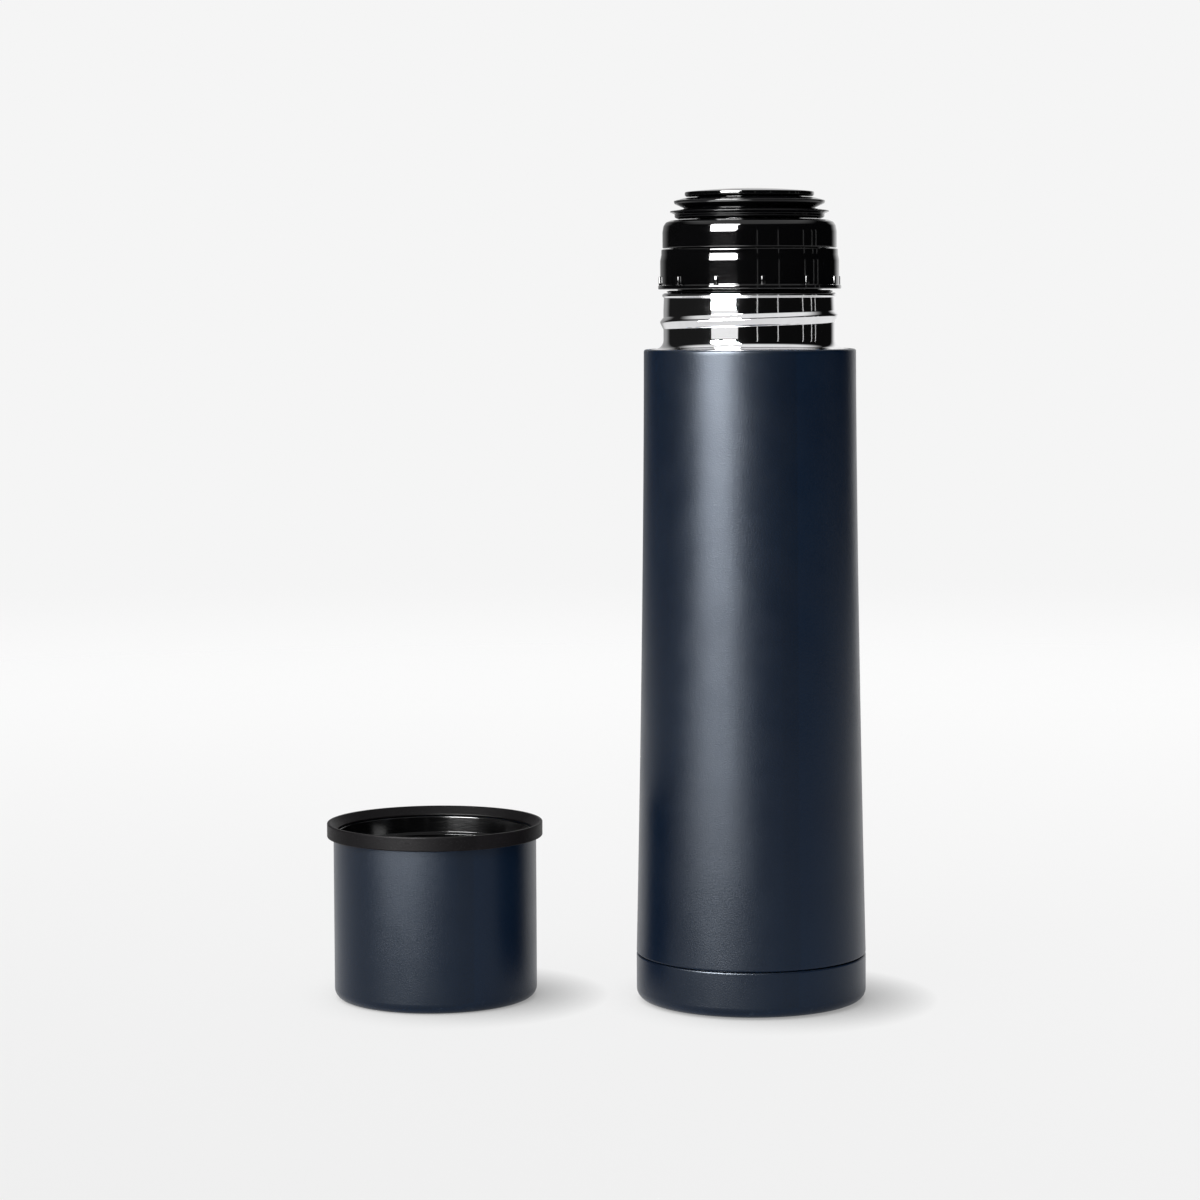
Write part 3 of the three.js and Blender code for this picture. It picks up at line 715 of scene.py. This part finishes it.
def rib_blank():
    """One rib lying on the collar's wall: rounded at its top and along its edges."""
    work = bmesh.new()
    bmesh.ops.create_cube(work, size=1)
    for vertex in work.verts:
        vertex.co.x *= (RIB_SUNK + RIB_PROUD) * MM
        vertex.co.x += (RIB_PROUD - RIB_SUNK) / 2 * MM
        vertex.co.y *= RIB_WIDE * MM
        vertex.co.z *= RIB_TALL * MM
    outer = [e for e in work.edges if all(v.co.x > 0 or v.co.z > 0 for v in e.verts)]
    bmesh.ops.bevel(work, geom=outer, offset=RIB_EDGE * MM, segments=3, profile=0.5, affect="EDGES")
    mesh = bpy.data.meshes.new("rib_blank")
    work.to_mesh(mesh)
    work.free()
    piece = bpy.data.objects.new("rib_blank", mesh)
    bpy.context.scene.collection.objects.link(piece)
    return piece


def stopper_collar():
    """Grip ring with its flange; the ribs are merged into the same mesh."""
    size = Size("stopper_collar")
    flange_top, bore, slope = size.bottom + 1.2, PLUG_NECK_R + 0.4, 218.7
    inner, upper = COLLAR_R - STOPPER_WALL, COLLAR_R - 0.35
    corners = [
        (bore, size.bottom, 0.1),
        (size.r, size.bottom, 0.3),
        (size.r, flange_top, 0.3),
        (COLLAR_R, flange_top, 0.25),
        (COLLAR_R, slope, 1.0),
        (upper, slope + 1.8, 1.0),
        (upper, size.top, 0.35),
        (inner, size.top, 0.1),
        (inner, size.bottom + STOPPER_WALL, 0.2),
        (bore, size.bottom + STOPPER_WALL, 0.1),
    ]
    collar = turned("stopper_collar", corners, GLOSS_BLACK)
    ribs = run_tree(
        rib_blank(), COPY_ROUND, count=RIB_COUNT, radius=COLLAR_R * MM,
        level=(flange_top + RIB_TALL / 2 - 0.1) * MM, first_angle=RIB_FIRST, material=GLOSS_BLACK,
    )
    clean(ribs.data)
    union = collar.modifiers.new("ribs", "BOOLEAN")
    union.operation = "UNION"
    union.object = ribs
    union.solver = "EXACT"
    bpy.context.view_layer.update()
    ready = collar.evaluated_get(bpy.context.evaluated_depsgraph_get())
    mesh = bpy.data.meshes.new_from_object(ready)
    collar.modifiers.remove(union)
    collar.data = mesh
    bpy.data.objects.remove(ribs)
    clean(collar.data)
    return collar


def stopper_head():
    """Upper cap with its top edge rounded in three steps."""
    size = Size("stopper_head")
    inside, ceiling = size.r - STOPPER_WALL, size.top - STOPPER_WALL
    bore = TOP_STEM_R + 0.3
    corners = [
        (inside, size.bottom, 0.1),
        (size.r, size.bottom, 0.35),
        (size.r, 227.1, 3.0),
        (size.r - 0.32, 228.9, 1.6),
        (size.r - 1.0, 229.95, 1.0),
        (size.r - 2.4, size.top, 0.8),
        (bore, size.top, 0.1),
        (bore, ceiling, 0.1),
        (inside, ceiling, 0.5),
    ]
    return turned("stopper_head", corners, GLOSS_BLACK)


def stopper_plug():
    """Plug tube: thin stem below, the thread, and the neck that the collar sits on."""
    size = Size("stopper_plug")
    root, stem, core = 22.1, 20.6, 18.6
    step, root_top = 198.3, 208.4
    corners = [
        (core, size.bottom, 0.1),
        (stem, size.bottom, 0.1),
        (stem, step, 0.2),
        (root, step, 0.2),
    ]
    corners += [(root, z) for z in levels(198.8, 205.6, 66)]
    corners += [
        (root, root_top, 0.3),
        (PLUG_NECK_R, root_top, 0.2),
        (PLUG_NECK_R, size.top, 0.1),
        (core, size.top, 0.1),
    ]
    outer = thread(root, 1.3, 1.0, 1.0, THREAD_CREST_Z - PITCH / 2, -200, 200)
    return turned("stopper_plug", corners, GLOSS_BLACK, threads=[outer])


def stopper_bottom_cap():
    size = Size("stopper_bottom_cap")
    face, spigot = size.bottom + 1.5, 18.3
    corners = [
        (0, size.bottom),
        (size.r, size.bottom, 0.8),
        (size.r, face, 0.1),
        (spigot, face, 0.1),
        (spigot, size.top, 0.2),
        (0, size.top),
    ]
    return turned("stopper_bottom_cap", corners, GLOSS_BLACK, steps=STEPS_HIDDEN)


def stopper_insulation():
    size = Size("stopper_insulation")
    corners = [(0, size.bottom), (size.r, size.bottom, 0.6), (size.r, size.top, 0.6), (0, size.top)]
    return turned("stopper_insulation", corners, FOAM, steps=STEPS_HIDDEN)


def lip_seal_ring():
    """Soft ring with two level fins; the lower one ends in a thin lip."""
    size = Size("lip_seal_ring")
    low, bore, core = size.bottom, TOP_STEM_R + 0.3, 19.1
    corners = [
        (bore, low, 0.1),
        (20.9, low, 0.3),
        (22.0, low + 0.5, 0.5),
        (22.0, low + 1.5, 0.3),
        (size.r, low + 2.1, 0.1),
        (size.r - 0.15, low + 2.4, 0.1),
        (19.8, low + 2.95, 0.6),
        (core, low + 3.15, 0.3),
        (22.0, low + 4.5, 0.4),
        (22.3, low + 5.35, 0.3),
        (19.4, size.top - 0.02, 0.6),
        (bore, size.top, 0.1),
    ]
    return turned("lip_seal_ring", corners, SEAL_RUBBER)


def stopper_top_cap():
    """Domed disc with a straight rim, on the stem that goes through the seal ring."""
    size = Size("stopper_top_cap")
    dome = 1.1
    under, dome_foot = 237.3, size.top - dome
    corners = [
        (0, size.bottom),
        (TOP_STEM_R, size.bottom, 0.3),
        (TOP_STEM_R, under, 0.1),
        (17.6, under, 0.2),
        (18.5, under + 0.1, 0.2),
        (size.r, under + 0.5, 0.2),
        (size.r, dome_foot, 0.35),
    ]
    for r in levels(size.r - 1.2, 1.5, 12):
        corners.append((r, dome_foot + dome * (1 - (r / size.r) ** 2)))
    corners.append((0, size.top))
    return turned("stopper_top_cap", corners, GLOSS_BLACK)


def mouth_gasket():
    """Ring under the stopper's flange that closes on the lip."""
    size = Size("mouth_gasket")
    bore = PLUG_NECK_R + 0.4
    corners = [
        (bore, size.bottom, 0.1),
        (MOUTH_R - 0.5, size.bottom, 0.15),
        (size.r, LIP_Z + 0.4, 0.15),
        (size.r - 0.25, LIP_Z + 0.6, 0.15),
        (23.6, size.top, 0.15),
        (bore, size.top, 0.1),
    ]
    return turned("mouth_gasket", corners, SEAL_RUBBER)


def plug_gasket():
    """Ring that closes on the seat in the neck."""
    size = Size("plug_gasket")
    bore = 21.0
    corners = [
        (bore, size.bottom, 0.1),
        (21.7, size.bottom, 0.2),
        (size.r, size.bottom + 0.6, 0.25),
        (size.r, size.top, 0.25),
        (bore, size.top, 0.1),
    ]
    return turned("plug_gasket", corners, SEAL_RUBBER)


# ---------- Cup ----------

cup_size, cup_ring = Size("cup_shell"), Size("cup_collar")


def cup_shell():
    """Painted shell with a slight dish in its foot."""
    r, low, top = cup_size.r, cup_size.bottom, cup_size.top
    dish_r, foot_r, dish = 24.0, 25.2, 0.3
    corners = [
        (0, low + dish),
        (dish_r, low + dish, 1.0),
        (foot_r, low, 1.0),
        (r, low, 3.0),
        (r, top, 0.15),
        (r - SHEET, top, 0.15),
        (r - SHEET, low + SHEET, 2.4),
        (foot_r, low + SHEET, 1.0),
        (dish_r, low + dish + SHEET, 1.0),
        (0, low + dish + SHEET),
    ]
    return turned("cup_shell", corners, BODY_PAINT, CUP_AXIS)


def cup_liner():
    """Moulded liner: a step under the mouth, then the band with the neck's thread."""
    size = Size("cup_liner")
    inside, band, floor = size.r - 0.8, 27.2, size.bottom + 1.0
    ledge, band_end = 44.2, 37.4
    corners = [
        (0, size.bottom),
        (size.r, size.bottom, 3.0),
        (size.r, size.top, 0.1),
        (inside + 0.3, size.top, 0.3),
        (inside - 0.25, ledge + 0.6, 0.12),
        (band, ledge, 0.08),
    ]
    corners += [(band, z) for z in levels(ledge - 0.6, band_end + 0.2, 56)]
    corners += [
        (inside - 0.4, band_end - 1.0, 0.6),
        (inside - 0.4, floor, 2.4),
        (0, floor),
    ]
    inner = thread(band, -1.2, 1.1, 1.1, 40.3, -150, 170)
    return turned("cup_liner", corners, LINER_BLACK, CUP_AXIS, threads=[inner])


def cup_collar():
    """Rubber ring on the rim, drawn in by a cone that leads the stopper into the cup."""
    bottom, top, ledge = cup_ring.bottom, cup_ring.top, cup_size.top + 0.3
    mouth, grip = 29.0, cup_size.r + 0.3
    corners = [
        (grip, bottom, 0.15),
        (cup_ring.r, bottom, 0.3),
        (cup_ring.r, top, 0.3),
        (cup_ring.r - 0.9, top, 0.35),
        (mouth, top - 2.2, 0.35),
        (mouth, ledge, 0.15),
        (grip, ledge, 0.1),
    ]
    return turned("cup_collar", corners, COLLAR_RUBBER, CUP_AXIS)


# ---------- Assembly ----------

ASSEMBLY = [
    (outer_shell, "flask", "body_paint"),
    (base_cup, "flask", "body_paint"),
    (base_pad, "flask", "soft_rubber"),
    (neck_shoulder, "flask", "polished_steel"),
    (inner_neck, "flask", "brushed_steel"),
    (inner_bottle_wall, "flask", "brushed_steel"),
    (inner_bottle_bottom, "flask", "brushed_steel"),
    (vacuum_end_plate, "flask", "brushed_steel"),
    (sealing_bead, "flask", "getter_compound"),
    (getter_clip, "flask", "brushed_steel"),
    (getter_pellet, "flask", "getter_compound"),
    (foil_wrap, "flask", "foil"),
    (mouth_gasket, "mouth_seal", "soft_rubber"),
    (stopper_collar, "stopper", "gloss_black"),
    (stopper_head, "stopper", "gloss_black"),
    (stopper_plug, "stopper", "gloss_black"),
    (stopper_bottom_cap, "stopper", "gloss_black"),
    (stopper_insulation, "stopper", "insulation_foam"),
    (lip_seal_ring, "stopper", "gloss_black"),
    (stopper_top_cap, "stopper", "gloss_black"),
    (plug_gasket, "stopper", "soft_rubber"),
    (cup_shell, "cup", "body_paint"),
    (cup_liner, "cup", "gloss_black"),
    (cup_collar, "cup", "soft_rubber"),
]

for make, body, slot in ASSEMBLY:
    node = make.__name__
    piece = make()
    piece.name = node + "_look"
    settle(piece, body, node)


# ---------- Studio ----------

KEY = {
    "azimuth": -37.6, "distance": 1050, "height": 655,
    "width": 715, "tall": 790, "radiance": 102, "aim_z": 150,
}
KEY_ON_MATT = 5.0  # the key as matt surfaces see it
WORLD_ON_PAPER = 0.12  # what the world adds to the key's light on the floor
FLOOR_LIT, FLOOR_GLOW = 0.05, 0.825
PAINTED_SHADOW_REACH, PAINTED_SHADOW_DARK = 0.022, 0.28  # how far the painted contact shadow in the floor's glow goes, and what share of the glow it leaves
SLIT_AZIMUTHS = (7.4, 34.9, 71.9, 86.8, 94.4)
BACKDROP = 0.913
FACE_UP = 1e6  # an aim so high that the panel lies flat


def even_floor_tone(wires, spot):
    """Paper tone that cancels the key light's fall-off, so that the lit floor looks even."""
    turn = math.radians(KEY["azimuth"])
    reach = KEY["distance"]
    lamp = Vector((math.sin(turn) * reach, -math.cos(turn) * reach, KEY["height"])) * MM
    facing = (Vector((0, 0, KEY["aim_z"])) * MM - lamp).normalized()
    to_lamp = wires.add(
        "ShaderNodeVectorMath", {0: tuple(lamp), 1: spot}, operation="SUBTRACT"
    ).outputs[0]
    away = wires.add("ShaderNodeVectorMath", {0: to_lamp}, operation="LENGTH").outputs["Value"]
    along = wires.add(
        "ShaderNodeVectorMath", {0: to_lamp, 1: tuple(-facing)}, operation="DOT_PRODUCT"
    ).outputs["Value"]
    area = KEY["width"] * KEY["tall"] * MM * MM
    top = wires.math("MULTIPLY", along, lamp.z * KEY_ON_MATT * area / math.pi)
    lit = wires.math("DIVIDE", top, wires.math("POWER", away, 4.0))
    return wires.math("DIVIDE", 1.0, wires.math("ADD", lit, WORLD_ON_PAPER))


def studio_floor():
    """Pale floor round the object that fades into the backdrop, with a contact shadow painted into its
    glow.
    """
    mesh = bpy.data.meshes.new("studio_floor")
    reach = 3.0
    corners = [(-reach, -reach, 0), (reach, -reach, 0), (reach, reach, 0), (-reach, reach, 0)]
    mesh.from_pydata(corners, [], [(0, 1, 2, 3)])
    floor = bpy.data.objects.new("studio_floor", mesh)
    bpy.context.scene.collection.objects.link(floor)
    made = bpy.data.materials.new("floor_paper")
    made.use_nodes = True
    wires = Wiring(made.node_tree)
    made.node_tree.nodes.clear()
    spot = wires.add("ShaderNodeTexCoord").outputs["Object"]
    shade = wires.math("MULTIPLY", even_floor_tone(wires, spot), FLOOR_LIT)
    tone = wires.add("ShaderNodeCombineColor", {0: shade, 1: shade, 2: shade}).outputs[0]
    paper = wires.add("ShaderNodeBsdfDiffuse", {"Color": tone}).outputs[0]
    # Painted shadow: light reaches the paper mostly from above and the left, so its glow is darkened
    # close to a piece on its right, by an occlusion test that leans to the left.
    leaning = wires.add("ShaderNodeCombineXYZ", {0: -0.75, 1: -0.1, 2: 0.65}).outputs[0]
    unshadowed_share = wires.add(
        "ShaderNodeAmbientOcclusion", {"Distance": PAINTED_SHADOW_REACH, "Normal": leaning}, samples=12
    ).outputs["AO"]
    strength = wires.ramp(unshadowed_share, 0.1, 1.0, PAINTED_SHADOW_DARK * FLOOR_GLOW, FLOOR_GLOW, smooth=False)
    glow = wires.add("ShaderNodeEmission", {"Color": (1, 1, 1, 1), "Strength": strength}).outputs[0]
    both = wires.add("ShaderNodeAddShader", {0: paper, 1: glow}).outputs[0]
    clear = wires.add("ShaderNodeBsdfTransparent").outputs[0]
    away = wires.add("ShaderNodeVectorMath", {0: spot}, operation="LENGTH").outputs["Value"]
    gone = wires.ramp(away, 0.6, 1.6)
    mixed = wires.add("ShaderNodeMixShader", {0: gone, 1: both, 2: clear}).outputs[0]
    end = wires.add("ShaderNodeOutputMaterial")
    made.node_tree.links.new(mixed, end.inputs["Surface"])
    mesh.materials.append(made)


def softbox(name, azimuth, distance, height, width, tall, radiance, aim_z=150, matt=False):
    """Area light at an azimuth from the front, in degrees, aimed at the flask. Sizes in millimetres.
    It is seen in reflections only, or where matt is set by matt colour only."""
    lamp = bpy.data.lights.new(name, "AREA")
    lamp.shape = "RECTANGLE"
    lamp.size, lamp.size_y = width * MM, tall * MM
    lamp.energy = radiance * math.pi * lamp.size * lamp.size_y
    holder = bpy.data.objects.new(name, lamp)
    bpy.context.scene.collection.objects.link(holder)
    turn = math.radians(azimuth)
    place = Vector((math.sin(turn) * distance, -math.cos(turn) * distance, height)) * MM
    holder.location = place
    away = place - Vector((0, 0, aim_z * MM))
    holder.rotation_euler = away.to_track_quat("Z", "Y").to_euler()
    holder.visible_camera = False
    holder.visible_glossy = not matt
    holder.visible_diffuse = matt


def studio_world():
    """Pale backdrop for the eye; for reflections a pale wall behind and a dim room in front."""
    world = bpy.data.worlds.new("studio_world")
    bpy.context.scene.world = world
    world.use_nodes = True
    wires = Wiring(world.node_tree)
    world.node_tree.nodes.clear()
    direction = wires.add("ShaderNodeTexCoord").outputs["Generated"]
    x, y, z = wires.add("ShaderNodeSeparateXYZ", {0: direction}).outputs
    wall = wires.ramp(x, -0.3, 0.3, 0.35, 1.05)
    behind = wires.math("MULTIPLY", wires.ramp(y, 0.70, 0.92), wall)
    above = wires.ramp(z, 0.56, 0.80, 0.0, 0.95)
    left = wires.ramp(x, 0.1, -0.6, 0.004, 0.012)
    room = wires.math("MAXIMUM", wires.math("MAXIMUM", behind, above), left)
    seen = wires.add("ShaderNodeLightPath").outputs["Is Camera Ray"]
    unseen = wires.math("SUBTRACT", 1.0, seen)
    backdrop = wires.math("MULTIPLY", seen, BACKDROP)
    strength = wires.math("ADD", backdrop, wires.math("MULTIPLY", unseen, room))
    glow = wires.add("ShaderNodeBackground", {"Color": (1, 1, 1, 1), "Strength": strength}).outputs[0]
    end = wires.add("ShaderNodeOutputWorld")
    world.node_tree.links.new(glow, end.inputs["Surface"])


def studio_camera():
    """Long lens a metre in front, slightly to the left and a little below the top of the flask."""
    lens = bpy.data.cameras.new("studio_camera")
    lens.lens, lens.sensor_width = 103.7, 36.0
    lens.shift_y = -0.0779
    lens.clip_start, lens.clip_end = 0.05, 20
    camera = bpy.data.objects.new("studio_camera", lens)
    bpy.context.scene.collection.objects.link(camera)
    camera.location = (-0.0440, -1.018, 0.207)
    pitch, roll = 3.4, 0.27
    camera.rotation_euler = (math.radians(90 - pitch), math.radians(roll), 0)
    bpy.context.scene.camera = camera


studio_floor()
studio_world()
softbox("key_softbox", **KEY)
softbox("key_on_matt", **{**KEY, "radiance": KEY_ON_MATT}, matt=True)
softbox("low_fill", -36, 1100, 108, 720, 216, 1.0)
softbox("floor_bounce", -37.6, 540, 4, 480, 480, 11, FACE_UP)
for azimuth in SLIT_AZIMUTHS:
    softbox("slit", azimuth, 1000, 200, 14, 500, 1.1, 200)
studio_camera()
bpy.context.scene.view_settings.view_transform = "Standard"
